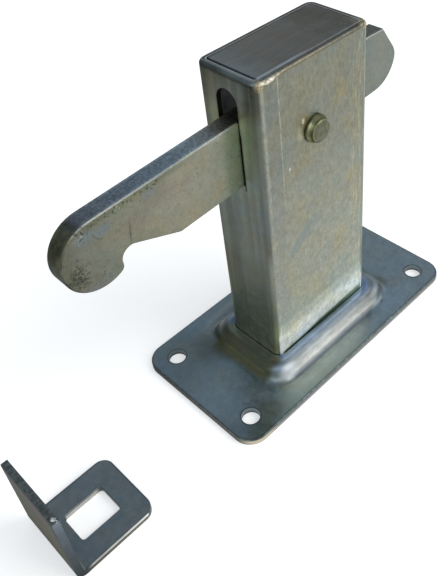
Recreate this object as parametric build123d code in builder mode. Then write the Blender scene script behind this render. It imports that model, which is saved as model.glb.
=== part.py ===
from build123d import *
from math import cos, radians, sin, sqrt, tan
import os

# Hook door latch for the floor: a rectangular tube post on a pressed base plate carries
# a gravity hook, and a loose angle keeper belongs on the door leaf. Millimetres, +Z up.
# The origin is the centre of the base plate's underside, and the hook points to -X.

# Base plate of pressed sheet
plate_length = 136.0
plate_width = 70.0
sheet_thickness = 3.0
plate_corner_radius = 9.0
plate_edge_roll = 0.7
screw_hole_diameter = 8.0
screw_spacing_x = 114.0
screw_spacing_y = 48.0

# Raised pad pressed into the middle of the plate
pad_rise = 6.0
pad_ledge_x = 6.0
pad_ledge_y = 5.5
pad_draft = 24.0
pad_corner_radius = 8.0
pad_crown_radius = 4.5
pad_foot_radius = 4.0

# Post of rectangular tube, let through the pad and welded to it from below
post_depth = 60.0
post_width = 30.0
post_wall = 2.5
post_corner_radius = 4.0
post_top = 146.0
post_rim_rounding = 1.5
foot_recess = 1.0
foot_gap = 0.4
foot_weld_leg = 2.6
foot_weld_slope = 40.0

# Cap plate let into the mouth of the post
cap_thickness = 3.0
cap_gap = 0.4
cap_bevel = 0.9

# Rivet that the hook turns on
pivot_x = -2.0
pivot_drop = 30.5
rivet_shank_diameter = 8.0
rivet_hole_clearance = 0.05
rivet_head_diameter = 11.4
rivet_face_diameter = 9.0
rivet_head_height = 3.8
rivet_land_height = 1.0
rivet_face_bevel = 0.5
closing_head_diameter = 12.0
closing_face_diameter = 7.6
closing_head_height = 2.2
closing_land_height = 0.6

# Hook cut from flat bar, measured along the bar from the rivet
bar_height = 28.0
bar_thickness = 8.0
nose_reach = 105.6
nose_length = 21.2
throat_radius = 4.4
heel_radius = 2.2
relief_length = 24.6
relief_angle = 24.8
relief_rounding = 1.5
tail_reach = 62.5
tail_bevel_length = 8.2
tail_taper_length = 20.5
tail_corner_drop = 1.6
tail_flat_angle = -4.0
tail_rounding = 7.0
bar_edge_break = 0.45
bore_clearance = 0.08
rest_tilt = 2.9
lift_angle = 14.0

# Slots that the hook passes through
slot_side_clearance = 1.3
bar_side_gap = 0.4
seat_gap = 0.3
swing_gap = 0.5
slot_corner_radius = 1.0

# Loose keeper bent from strip
keeper_height = 40.0
keeper_length = 36.0
keeper_width = 33.0
keeper_thickness = 2.8
keeper_bend_radius = 1.2
keeper_end_radius = 5.0
keeper_face_x = -146.0
keeper_centre_y = -9.3
keeper_slot_start = 9.1
keeper_slot_length = 17.6
keeper_slot_width = 13.6
keeper_slot_radius = 1.4

# The pad's wall leans by the draft and keeps the sheet's thickness, inside as outside.
pad_run = pad_rise * tan(radians(pad_draft))
pad_foot_length = post_depth + 2 * (pad_ledge_x + pad_run)
pad_foot_width = post_width + 2 * (pad_ledge_y + pad_run)
lining_inset = sheet_thickness * (1 / cos(radians(pad_draft)) - tan(radians(pad_draft)))

# The slots' ends follow from the bar at rest, nose down by the tilt, and fully lifted.
bar_half = bar_height / 2
pivot_z = post_top - pivot_drop
front_arm = post_depth / 2 + pivot_x
rear_arm = post_depth / 2 - pivot_x
rest_slope = tan(radians(rest_tilt))
rest_half = bar_half / cos(radians(rest_tilt))
lift_slope = tan(radians(lift_angle - rest_tilt))
lift_half = bar_half / cos(radians(lift_angle - rest_tilt))

# The bar leans to the rivet-head side of its slots, and its corners fit the round ends.
slot_width = bar_thickness + 2 * slot_side_clearance
bar_offset = bar_side_gap - slot_side_clearance
corner_reach = bar_thickness / 2 - bar_offset + bar_side_gap / 2
round_end_rise = sqrt((slot_width / 2) ** 2 - corner_reach**2)
front_slot_bottom = pivot_z - front_arm * rest_slope - rest_half - seat_gap
front_round_centre = pivot_z + front_arm * lift_slope + lift_half + swing_gap - round_end_rise
rear_slot_top = pivot_z + rear_arm * rest_slope + rest_half + swing_gap
rear_round_centre = pivot_z - rear_arm * lift_slope - lift_half - swing_gap + round_end_rise


def wall_slot(round_centre, square_end):
    """Slot in a narrow wall: a full round at one end, eased corners at the other."""
    with BuildSketch(mode=Mode.PRIVATE) as slot:
        with Locations((0, (round_centre + square_end) / 2)):
            Rectangle(slot_width, abs(round_centre - square_end))
        nearness = slot.vertices().sort_by_distance((0, square_end))
        fillet(nearness[:2], slot_corner_radius)
        with Locations((0, round_centre)):
            Circle(slot_width / 2)
    add(slot.sketch)


# The base plate: a blanked rectangle with a drafted pad pressed up round the post's foot.
with BuildPart() as base_plate:
    with BuildSketch():
        RectangleRounded(plate_length, plate_width, plate_corner_radius)
    extrude(amount=sheet_thickness)
    fillet(base_plate.faces().sort_by(Axis.Z)[-1].edges(), plate_edge_roll)
    with BuildSketch(Plane.XY.offset(sheet_thickness)):
        RectangleRounded(pad_foot_length, pad_foot_width, pad_corner_radius)
    extrude(amount=pad_rise, taper=pad_draft)
    fillet(base_plate.faces().sort_by(Axis.Z)[-1].edges(), pad_crown_radius)
    plate_top = base_plate.faces().filter_by(Plane.XY).sort_by(Axis.Z)[-2]
    fillet(plate_top.inner_wires()[0].edges(), pad_foot_radius)
    with BuildSketch():
        RectangleRounded(
            pad_foot_length - 2 * lining_inset,
            pad_foot_width - 2 * lining_inset,
            pad_corner_radius - lining_inset,
        )
    extrude(amount=pad_rise, taper=pad_draft, mode=Mode.SUBTRACT)
    underside = base_plate.faces().sort_by(Axis.Z)[0]
    fillet(underside.inner_wires()[0].edges(), pad_foot_radius + sheet_thickness)
    with BuildSketch(Plane.XY.offset(pad_rise)):
        RectangleRounded(
            post_depth + 2 * foot_gap, post_width + 2 * foot_gap, post_corner_radius + foot_gap
        )
    extrude(amount=sheet_thickness, mode=Mode.SUBTRACT)
    with BuildSketch():
        with GridLocations(screw_spacing_x, screw_spacing_y, 2, 2):
            Circle(screw_hole_diameter / 2)
    extrude(amount=sheet_thickness, mode=Mode.SUBTRACT)
base_plate.part.label = "base_plate"

# The post: a length of tube with a slot in each narrow wall and a rivet hole across.
mouth_length = post_depth - 2 * post_wall
mouth_width = post_width - 2 * post_wall
mouth_radius = post_corner_radius - post_wall
with BuildPart() as post_tube:
    with BuildSketch(Plane.XY.offset(foot_recess)):
        RectangleRounded(post_depth, post_width, post_corner_radius)
        RectangleRounded(mouth_length, mouth_width, mouth_radius, mode=Mode.SUBTRACT)
    extrude(amount=post_top - foot_recess)
    rim = post_tube.faces().sort_by(Axis.Z)[-1]
    fillet(rim.outer_wire().edges(), post_rim_rounding)
    with BuildSketch(Plane.YZ.offset(-post_depth / 2)):
        wall_slot(front_round_centre, front_slot_bottom)
    extrude(amount=post_wall, mode=Mode.SUBTRACT)
    with BuildSketch(Plane.YZ.offset(post_depth / 2)):
        wall_slot(rear_round_centre, rear_slot_top)
    extrude(amount=-post_wall, mode=Mode.SUBTRACT)
    with Locations(Plane((pivot_x, -post_width / 2, pivot_z), z_dir=(0, -1, 0))):
        Hole(rivet_shank_diameter / 2 + rivet_hole_clearance, depth=post_width)
post_tube.part.label = "post_tube"

# The cap: a plate let into the tube's mouth, its upper edges bevelled for the weld.
with BuildPart() as top_cap:
    with BuildSketch(Plane.XY.offset(post_top)):
        RectangleRounded(
            mouth_length - 2 * cap_gap, mouth_width - 2 * cap_gap, mouth_radius - cap_gap
        )
    extrude(amount=-cap_thickness)
    chamfer(top_cap.faces().sort_by(Axis.Z)[-1].edges(), cap_bevel)
top_cap.part.label = "top_cap"

# The cap's weld: it fills the gap and the bevel on three sides, ground flush, and leaves
# the side above the hook open as a groove.
with BuildPart() as cap_weld:
    with BuildSketch(Plane.XY.offset(post_top)):
        RectangleRounded(mouth_length, mouth_width, mouth_radius)
        with Locations((-mouth_length / 2, 0)):
            Rectangle(2 * (cap_gap + cap_bevel), mouth_width, mode=Mode.SUBTRACT)
    extrude(amount=-cap_thickness)
    add(top_cap.part, mode=Mode.SUBTRACT)
cap_weld.part.label = "cap_weld"

# The foot's weld: a fillet bead all round the tube, in the corner under the pad.
with BuildPart() as foot_weld:
    with BuildSketch(Plane.XY.offset(pad_rise)):
        RectangleRounded(
            post_depth + 2 * foot_weld_leg,
            post_width + 2 * foot_weld_leg,
            post_corner_radius + foot_weld_leg,
        )
    extrude(amount=-foot_weld_leg, taper=foot_weld_slope)
    with BuildSketch(Plane.XY.offset(pad_rise)):
        RectangleRounded(post_depth, post_width, post_corner_radius)
    extrude(amount=-foot_weld_leg, mode=Mode.SUBTRACT)
foot_weld.part.label = "foot_weld"

# The rivet: a turned pin with a tapered head in front and a flatter closing head behind.
near_face = -post_width / 2
far_face = post_width / 2
with BuildPart() as pivot_rivet:
    with BuildSketch(Plane((pivot_x, 0, pivot_z))):
        with BuildLine():
            Polyline(
                (0, far_face + closing_head_height),
                (0, near_face - rivet_head_height),
                (rivet_face_diameter / 2, near_face - rivet_head_height),
                (rivet_head_diameter / 2, near_face - rivet_land_height),
                (rivet_head_diameter / 2, near_face),
                (rivet_shank_diameter / 2, near_face),
                (rivet_shank_diameter / 2, far_face),
                (closing_head_diameter / 2, far_face),
                (closing_head_diameter / 2, far_face + closing_land_height),
                (closing_face_diameter / 2, far_face + closing_head_height),
                close=True,
            )
        make_face()
    revolve(axis=Axis((pivot_x, 0, pivot_z), (0, 1, 0)))
    head_face = pivot_rivet.faces().sort_by(Axis.Y)[0]
    chamfer(head_face.edges(), rivet_face_bevel)
pivot_rivet.part.label = "pivot_rivet"

# The hook: flat bar with a half-round nose, a relieved throat behind it and a thumb tail.
# The profile is drawn along the bar, the rivet at its origin, and laid over by the tilt.
bar_plane = Plane(
    (pivot_x, bar_offset - bar_thickness / 2, pivot_z),
    x_dir=(cos(radians(rest_tilt)), 0, sin(radians(rest_tilt))),
    z_dir=(0, -1, 0),
)
nose_centre = bar_half - nose_reach
throat_reach = nose_reach - nose_length
relief_reach = throat_reach - relief_length
tail_centre = tail_reach - bar_half
tail_corner = (tail_reach - tail_bevel_length, bar_half - tail_corner_drop)
taper_start = (tail_reach - tail_bevel_length - tail_taper_length, bar_half)
heel = (-throat_reach, -sqrt(bar_half**2 - (throat_reach + nose_centre) ** 2))
throat_apex = (-throat_reach, relief_length * tan(radians(relief_angle)) - bar_half)
with BuildPart() as hook_lever:
    with BuildSketch(bar_plane) as hook_outline:
        with BuildLine():
            tail_round = CenterArc((tail_centre, 0), bar_half, -90, 90 + tail_flat_angle)
            Polyline(tail_round @ 1, tail_corner, taper_start, (nose_centre, bar_half))
            ThreePointArc((nose_centre, bar_half), (-nose_reach, 0), heel)
            FilletPolyline(
                heel,
                throat_apex,
                (-relief_reach, -bar_half),
                tail_round @ 0,
                radius=(throat_radius, relief_rounding),
            )
        make_face()
        fillet(hook_outline.vertices().sort_by_distance(heel)[0], heel_radius)
        fillet(hook_outline.vertices().sort_by_distance(tail_round @ 1)[0], tail_rounding)
    extrude(amount=-bar_thickness)
    chamfer(hook_lever.faces().filter_by(Axis.Y).edges(), bar_edge_break)
    with Locations(bar_plane):
        Hole(rivet_shank_diameter / 2 + bore_clearance, depth=bar_thickness)
hook_lever.part.label = "hook_lever"

# The keeper: strip bent to an angle, the leg on the floor pierced for the hook's nose.
keeper_back = keeper_centre_y + keeper_width / 2
slot_middle = keeper_face_x + keeper_slot_start + keeper_slot_length / 2
with BuildPart() as keeper:
    with BuildSketch(Plane((keeper_face_x, keeper_back, 0), z_dir=(0, -1, 0), x_dir=(1, 0, 0))):
        with BuildLine():
            FilletPolyline(
                (0, keeper_height),
                (0, 0),
                (keeper_length, 0),
                radius=keeper_bend_radius + keeper_thickness,
            )
            offset(amount=keeper_thickness, side=Side.LEFT)
        make_face()
    extrude(amount=keeper_width)
    free_corners = keeper.edges().filter_by(Axis.Z).sort_by(Axis.X)[-2:]
    fillet(free_corners, keeper_end_radius)
    with BuildSketch(Plane.XY.offset(keeper_thickness)):
        with Locations((slot_middle, keeper_centre_y)):
            RectangleRounded(keeper_slot_length, keeper_slot_width, keeper_slot_radius)
    extrude(amount=-keeper_thickness, mode=Mode.SUBTRACT)
keeper.part.label = "keeper"

os.makedirs("parts", exist_ok=True)
pieces = (
    base_plate,
    post_tube,
    top_cap,
    cap_weld,
    foot_weld,
    pivot_rivet,
    hook_lever,
    keeper,
)
for piece in pieces:
    export_step(piece.part, f"parts/{piece.part.label}.step")
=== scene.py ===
import bpy
import numpy as np
from mathutils import Matrix, Vector


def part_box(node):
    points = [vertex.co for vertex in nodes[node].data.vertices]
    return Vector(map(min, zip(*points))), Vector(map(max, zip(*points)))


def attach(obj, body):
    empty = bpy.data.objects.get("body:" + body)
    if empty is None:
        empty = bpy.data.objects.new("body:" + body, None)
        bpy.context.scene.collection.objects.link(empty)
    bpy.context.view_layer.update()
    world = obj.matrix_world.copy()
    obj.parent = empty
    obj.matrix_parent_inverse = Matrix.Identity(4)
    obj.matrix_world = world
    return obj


# Hook door latch of zinc-plated steel: a tube post on a pressed plate, a gravity hook on a
# rivet, and a loose angle keeper. Metres, +Z up, the hook points to -X.
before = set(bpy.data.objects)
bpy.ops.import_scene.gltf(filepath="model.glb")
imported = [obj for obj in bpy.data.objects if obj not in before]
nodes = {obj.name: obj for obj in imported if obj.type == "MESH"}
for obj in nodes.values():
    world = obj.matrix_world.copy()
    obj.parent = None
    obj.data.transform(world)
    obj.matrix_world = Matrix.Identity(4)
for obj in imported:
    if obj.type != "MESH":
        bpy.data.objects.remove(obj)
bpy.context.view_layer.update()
mm = 0.001

# Camera
# A hand-held view from above the hook's nose, looking down on the post's broad side. Its frame
# sits a little off the lens axis, as in a cropped picture.
camera_azimuth = -42.24
camera_elevation = 39.93
camera_roll = -5.10
camera_distance = 312.8 * mm
camera_slide_right = -11.75 * mm
camera_slide_up = -3.96 * mm
camera_target = Vector((0.0, 0.0, 70.0 * mm))
image_long_side = 576
focal_length_px = 743.1
lens_shift_x = -0.080
lens_shift_y = -0.130

azimuth, elevation, roll = np.radians((camera_azimuth, camera_elevation, camera_roll))
back = Vector(
    (
        np.sin(azimuth) * np.cos(elevation),
        -np.cos(azimuth) * np.cos(elevation),
        np.sin(elevation),
    )
)
level_right = Vector((np.cos(azimuth), np.sin(azimuth), 0.0))
level_up = back.cross(level_right)
right = level_right * np.cos(roll) + level_up * np.sin(roll)
up = level_up * np.cos(roll) - level_right * np.sin(roll)

camera_data = bpy.data.cameras.new("camera")
camera_data.sensor_width = 36.0
camera_data.lens = focal_length_px * camera_data.sensor_width / image_long_side
camera_data.shift_x = lens_shift_x
camera_data.shift_y = lens_shift_y
camera_data.clip_start = 0.01
camera_data.clip_end = 50.0
camera = bpy.data.objects.new("camera", camera_data)
bpy.context.collection.objects.link(camera)
camera.matrix_world = Matrix.Translation(
    camera_target + back * camera_distance + right * camera_slide_right + up * camera_slide_up
) @ Matrix((right, up, back)).transposed().to_4x4()
bpy.context.scene.camera = camera
bpy.context.scene.view_settings.view_transform = "Standard"

# Studio
# A wide white floor under a large soft lamp in front on the right and a weaker one on the left.
# The sky is white at the horizon and slate above. Its back left is dim, and so is the floor's in
# reflections, which gives plated steel its dark sides.
floor_size = 14.0
floor_drop = 0.1 * mm
floor_albedo = (0.80, 0.80, 0.80)
floor_lift = 0.46
floor_dim = (0.24, 0.252, 0.24)
sky_horizon = (0.95, 0.96, 0.95)
sky_zenith = (0.34, 0.385, 0.43)
sky_dim = (0.16, 0.17, 0.15)
sky_seen = (0.97, 0.97, 0.97)
dim_lean = 0.9


def feed(socket, value):
    """Links a socket to an output, or sets its value. A colour of three numbers becomes opaque."""
    if isinstance(value, bpy.types.NodeSocket):
        socket.id_data.links.new(value, socket)
    elif socket.type == "RGBA":
        socket.default_value = (*value, 1.0)
    else:
        socket.default_value = value


def place(tree, kind, *values, **settings):
    """Adds a node, sets its properties, and fills its inputs in order with values or links."""
    node = tree.nodes.new(kind)
    for name, value in settings.items():
        setattr(node, name, value)
    for socket, value in zip(node.inputs, values):
        feed(socket, value)
    return node


def tree_of(*values):
    """The node tree that the sockets among the values belong to."""
    return next(value.id_data for value in values if isinstance(value, bpy.types.NodeSocket))


def arith(operation, *values):
    """One Math node, and its result."""
    return place(tree_of(*values), "ShaderNodeMath", *values, operation=operation).outputs[0]


def less(value, by):
    """The value less another."""
    return arith("SUBTRACT", value, by)


def greatest(*values):
    """The greatest of several values."""
    result = values[0]
    for value in values[1:]:
        result = arith("MAXIMUM", result, value)
    return result


def ramp(value, low, high, to_low=0.0, to_high=1.0):
    """A smooth step of the value: to_low at low and before it, to_high at high and past it. Low
    may be the greater of the two."""
    node = place(tree_of(value), "ShaderNodeMapRange", value, low, high, to_low, to_high)
    node.interpolation_type = "SMOOTHSTEP"
    return node.outputs[0]


def tint(colour, share, towards):
    """Moves a colour towards another one by a share."""
    node = place(tree_of(colour, share, towards), "ShaderNodeMix")
    node.data_type = "RGBA"
    for index, value in ((0, share), (6, colour), (7, towards)):
        feed(node.inputs[index], value)
    return node.outputs[2]


def back_left(split):
    """How far a split vector reaches to the back left: its Y less a share of its X."""
    return less(split.outputs["Y"], arith("MULTIPLY", split.outputs["X"], dim_lean))


def empty_tree(holder):
    """The emptied node tree of a material or of the world."""
    holder.use_nodes = True
    holder.node_tree.nodes.clear()
    return holder.node_tree


floor_mesh = bpy.data.meshes.new("floor")
corner = floor_size / 2
floor_mesh.from_pydata(
    [(-corner, -corner, -floor_drop), (corner, -corner, -floor_drop),
     (corner, corner, -floor_drop), (-corner, corner, -floor_drop)],
    [], [(0, 1, 2, 3)],
)
floor = bpy.data.objects.new("floor", floor_mesh)
bpy.context.collection.objects.link(floor)
floor_material = bpy.data.materials.new("white_floor")
floor_mesh.materials.append(floor_material)
tree = empty_tree(floor_material)
path = tree.nodes.new("ShaderNodeLightPath").outputs
seen = greatest(path["Is Camera Ray"], path["Is Glossy Ray"], path["Is Transmission Ray"])
paper = place(tree, "ShaderNodeBsdfDiffuse", floor_albedo)
glow = place(tree, "ShaderNodeEmission", (1.0, 1.0, 1.0), arith("MULTIPLY", seen, floor_lift))
bright = place(tree, "ShaderNodeAddShader", paper.outputs[0], glow.outputs[0])
dim = place(tree, "ShaderNodeEmission", floor_dim, 1.0)
coordinates = tree.nodes.new("ShaderNodeTexCoord")
split = place(tree, "ShaderNodeSeparateXYZ", coordinates.outputs["Object"])
dim_share = arith("MULTIPLY", ramp(back_left(split), 0.03, 0.12), path["Is Glossy Ray"])
mix = place(tree, "ShaderNodeMixShader", dim_share, bright.outputs[0], dim.outputs[0])
place(tree, "ShaderNodeOutputMaterial", mix.outputs[0])

world = bpy.data.worlds.new("sky")
bpy.context.scene.world = world
tree = empty_tree(world)
coordinates = tree.nodes.new("ShaderNodeTexCoord")
split = place(tree, "ShaderNodeSeparateXYZ", coordinates.outputs["Generated"])
height = split.outputs["Z"]
sky = tint(sky_horizon, ramp(height, 0.30, 0.60), sky_zenith)
low_part = ramp(height, 0.55, 0.25)
dim_share = arith("MULTIPLY", ramp(back_left(split), 0.45, 1.0), low_part)
path = tree.nodes.new("ShaderNodeLightPath").outputs
sky = tint(sky, dim_share, sky_dim)
sky = tint(sky, path["Is Camera Ray"], sky_seen)
background = place(tree, "ShaderNodeBackground", sky, 1.0)
place(tree, "ShaderNodeOutputWorld", background.outputs[0])


def soft_lamp(name, position, width, power, colour):
    """A square lamp that faces the middle of the post."""
    data = bpy.data.lights.new(name, "AREA")
    data.shape = "SQUARE"
    data.size = width
    data.energy = power
    data.color = colour
    lamp = bpy.data.objects.new(name, data)
    bpy.context.collection.objects.link(lamp)
    lamp.location = position
    lamp.rotation_euler = (camera_target - Vector(position)).to_track_quat("-Z", "Y").to_euler()


soft_lamp("key_lamp", position=(1.40, -1.90, 2.10), width=2.2, power=56.0, colour=(1.0, 0.98, 0.95))
soft_lamp("fill_lamp", position=(-2.25, -1.25, 2.25), width=2.0, power=19.0, colour=(0.95, 0.97, 1.0))


# Plating
# Everything is zinc plated and faintly passivated: patches of warm and cool tone under a fine
# frosted grain, which the materials share as node groups. Patterns are in millimetres.
def new_group(name, inputs, outputs):
    """An empty node group with named sockets, what it is given and what it results in."""
    group = bpy.data.node_groups.new(name, "ShaderNodeTree")
    for label, kind in inputs:
        group.interface.new_socket(label, in_out="INPUT", socket_type="NodeSocket" + kind)
    for label, kind in outputs:
        group.interface.new_socket(label, in_out="OUTPUT", socket_type="NodeSocket" + kind)
    return group, group.nodes.new("NodeGroupInput").outputs, group.nodes.new("NodeGroupOutput").inputs


def use_group(group, values):
    """Places a group and fills its sockets by name with values or links."""
    node = place(tree_of(*values.values()), "ShaderNodeGroup")
    node.node_tree = group
    for label, value in values.items():
        feed(node.inputs[label], value)
    return node.outputs


def times(colour, by):
    """Multiplies a colour or a vector by another, part by part."""
    return place(tree_of(colour, by), "ShaderNodeVectorMath", colour, by, operation="MULTIPLY").outputs[0]


def scale(colour, by):
    """Brightens or darkens a colour by a number."""
    node = place(tree_of(by), "ShaderNodeVectorMath", colour, operation="SCALE")
    feed(node.inputs["Scale"], by)
    return node.outputs[0]


def product(*shares):
    """Multiplies shares."""
    result = shares[0]
    for share in shares[1:]:
        result = arith("MULTIPLY", result, share)
    return result


def noise(vector, density, detail, roughness=0.5):
    """Noise between 0 and 1 on a vector, with the number of its spots in a unit of length."""
    node = place(tree_of(vector), "ShaderNodeTexNoise", vector, noise_dimensions="3D")
    feed(node.inputs["Scale"], density)
    node.inputs["Detail"].default_value = detail
    node.inputs["Roughness"].default_value = roughness
    return node.outputs[0]


def mottle(point, size, detail=2.0, roughness=0.5):
    """Noise between 0 and 1 whose spots measure about size, one length or three, in millimetres."""
    lengths = size if isinstance(size, tuple) else (size, size, size)
    return noise(times(point, tuple(1.0 / length for length in lengths)), 1.0, detail, roughness)


def near(point, centre, reach):
    """A soft ellipsoid of influence: 1 about its centre, 0 outside its three half axes."""
    tree = tree_of(point)
    away = place(tree, "ShaderNodeVectorMath", point, centre, operation="SUBTRACT").outputs[0]
    away = times(away, tuple(1.0 / length for length in reach))
    length = place(tree, "ShaderNodeVectorMath", away, operation="LENGTH")
    return ramp(length.outputs["Value"], 1.0, 0.25)


def spots(point, colour, marks):
    """Lays soft spots over a colour, each given by its centre, half axes, share and tone."""
    for centre, reach, share, tone in marks:
        colour = tint(colour, product(near(point, centre, reach), share), tone)
    return colour


def stripe(value, middle, width, softness):
    """A band of the given width round a middle value, with soft sides."""
    away = arith("ABSOLUTE", less(value, middle))
    return ramp(away, width / 2 + softness / 2, width / 2 - softness / 2)


def layers(colour, *coats):
    """Lays coats over a colour in turn, each given by its share and its tone."""
    for share, tone in coats:
        colour = tint(colour, share, tone)
    return colour


def shade(colour, share, by):
    """Multiplies a colour by another, as far as a share goes."""
    return tint(colour, share, times(colour, by))


def hypotenuse(first, second):
    """The length of two offsets at right angles."""
    squares = arith("ADD", product(first, first), product(second, second))
    return arith("SQRT", squares)


def graded(value, stops):
    """A colour that changes along a value through stops of (place, colour), where a single number
    stands for a grey."""
    first, last = stops[0][0], stops[-1][0]
    node = place(tree_of(value), "ShaderNodeValToRGB")
    node.color_ramp.interpolation = "EASE"
    elements = node.color_ramp.elements
    while len(elements) < len(stops):
        elements.new(0.5)
    for element, (position, tone) in zip(elements, stops):
        colour = tone if isinstance(tone, tuple) else (tone, tone, tone)
        element.position = (position - first) / (last - first)
        element.color = (*colour, 1.0)
    feed(node.inputs[0], arith("DIVIDE", less(value, first), last - first))
    return node.outputs[0]


patch_group, given, result = new_group(
    "plating_patches",
    [("Point", "Vector"), ("Base", "Color"), ("Warm", "Color"), ("Cool", "Color"),
     ("Patch Size", "Float"), ("Amount", "Float")],
    [("Color", "Color")],
)
density = arith("DIVIDE", 1.0, given["Patch Size"])
tone = given["Base"]
for label, shift, threshold in (("Warm", 31.0, 0.50), ("Cool", 117.0, 0.52)):
    moved = place(patch_group, "ShaderNodeVectorMath", given["Point"], (shift, shift, shift))
    patch = noise(moved.outputs[0], density, 5.0, 0.62)
    share = product(ramp(patch, threshold - 0.10, threshold + 0.14), given["Amount"])
    tone = tint(tone, share, given[label])
feed(result["Color"], tone)

grain_group, given, result = new_group(
    "frosted_grain",
    [("Point", "Vector"), ("Color", "Color"), ("Grain Size", "Float"), ("Contrast", "Float"),
     ("Roughness", "Float")],
    [("Color", "Color"), ("Roughness", "Float"), ("Height", "Float")],
)
density = arith("DIVIDE", 1.0, given["Grain Size"])
fine = noise(given["Point"], density, 2.0, 0.6)
coarse = noise(given["Point"], arith("MULTIPLY", density, 0.3), 2.0)
swing = less(arith("ADD", fine, coarse), 1.0)
gain = arith("MULTIPLY_ADD", swing, arith("MULTIPLY", given["Contrast"], 2.0), 1.0)
glitter = product(ramp(fine, 0.68, 0.76), given["Contrast"])
gain = arith("ADD", gain, glitter)
feed(result["Color"], scale(given["Color"], gain))
feed(result["Roughness"], arith("MULTIPLY_ADD", swing, 0.25, given["Roughness"]))
feed(result["Height"], fine)


def start_material(name, piece=None):
    """An empty plating, on the CAD node of that name or on a new piece: its shader, and the point
    in millimetres as a vector and as x, y and z."""
    material = bpy.data.materials.new(name + "_plating")
    if piece is None:
        nodes[name].data.materials[0] = material
    else:
        piece.data.materials.append(material)
    tree = empty_tree(material)
    shader = tree.nodes.new("ShaderNodeBsdfPrincipled")
    shader.inputs["Metallic"].default_value = 1.0
    place(tree, "ShaderNodeOutputMaterial", shader.outputs[0])
    coordinates = tree.nodes.new("ShaderNodeTexCoord")
    point = times(coordinates.outputs["Object"], (1 / mm, 1 / mm, 1 / mm))
    split = place(tree, "ShaderNodeSeparateXYZ", point)
    return shader, point, *split.outputs


def patches(point, base, warm, cool, size, amount):
    """The shared patches with this piece's tones."""
    values = {"Point": point, "Base": base, "Warm": warm, "Cool": cool, "Patch Size": size, "Amount": amount}
    return use_group(patch_group, values)["Color"]


def clouded(point, colour, warm, cool, size, amount):
    """Multiplies a colour by patches that leave it, warm it or cool it."""
    return times(colour, patches(point, (1.0, 1.0, 1.0), warm, cool, size, amount))


def whiten(shader, share):
    """Lowers Metallic by a share, so that painted highlights and pale patches look white from every side."""
    feed(shader.inputs["Metallic"], less(1.0, share))


def finish_plating(shader, point, colour, grain_size, contrast, roughness, bump):
    """Lays the shared grain over a colour and feeds the shader with it."""
    values = {
        "Point": point, "Color": colour, "Grain Size": grain_size, "Contrast": contrast,
        "Roughness": roughness,
    }
    grained = use_group(grain_group, values)
    feed(shader.inputs["Base Color"], grained["Color"])
    feed(shader.inputs["Roughness"], grained["Roughness"])
    relief = place(tree_of(point), "ShaderNodeBump")
    relief.inputs["Strength"].default_value = bump
    relief.inputs["Distance"].default_value = 0.03 * mm
    feed(relief.inputs["Height"], grained["Height"])
    feed(shader.inputs["Normal"], relief.outputs[0])


# Base plate
# One pressed sheet, slate blue from its plating. The pad's long slopes carry a painted pale highlight, its
# ends are stained olive, and the sheared rim and the holes' walls are dark, the holes' walls from painted
# shade. A painted dark green reflection of the post lies between the pad and the plate's near tip.
plate_half = (68.0, 35.0)
plate_corner = 9.0
pad_top = 9.0
hole_place = (57.0, 24.0)
hole_radius = 4.0
post_half = (30.0, 15.0)
post_corner = 4.0


def outline_distance(x, y, half, radius):
    """Distance outside a rounded rectangle, negative inside it: the length of what passes the core
    of its corners, less their radius."""
    over_x, over_y = (
        greatest(less(arith("ABSOLUTE", value), reach - radius), 0.0)
        for value, reach in ((x, half[0]), (y, half[1]))
    )
    return less(hypotenuse(over_x, over_y), radius)


shader, point, x, y, z = start_material("base_plate")
side_x = arith("ABSOLUTE", x)
side_y = arith("ABSOLUTE", y)
tone = graded(
    x,
    [(-68.0, (0.19, 0.25, 0.30)), (-50.0, (0.225, 0.29, 0.33)), (-20.0, (0.22, 0.285, 0.32)),
     (20.0, (0.25, 0.32, 0.36)), (68.0, (0.24, 0.305, 0.35))],
)
tone = clouded(point, tone, (1.06, 1.0, 0.90), (0.88, 0.98, 1.06), size=16.0, amount=0.8)
# The fourth and fifth spots are a painted dark green reflection of the post, between the pad's corner and
# the plate's near tip.
tone = spots(
    point, tone,
    [((-12.0, -30.0, 3.0), (42.0, 9.0, 9.0), 0.8, (0.275, 0.32, 0.33)),
     ((34.0, -29.0, 3.0), (24.0, 8.0, 9.0), 0.6, (0.27, 0.37, 0.45)),
     ((-61.0, -9.0, 3.0), (13.0, 18.0, 9.0), 0.55, (0.29, 0.375, 0.425)),
     ((-51.0, -27.0, 3.0), (10.0, 9.0, 6.0), 0.7, (0.155, 0.185, 0.15)),
     ((-58.5, -32.0, 3.0), (9.0, 8.0, 6.0), 0.6, (0.105, 0.125, 0.095)),
     ((-52.0, 22.0, 3.0), (20.0, 20.0, 9.0), 0.5, (0.14, 0.18, 0.18))],
)

from_post = outline_distance(x, y, post_half, post_corner)
wobble = arith("MULTIPLY_ADD", mottle(point, 5.0, 3.0), 5.0, -2.5)
long_side = ramp(less(side_x, side_y), 19.0, 14.0)
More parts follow.
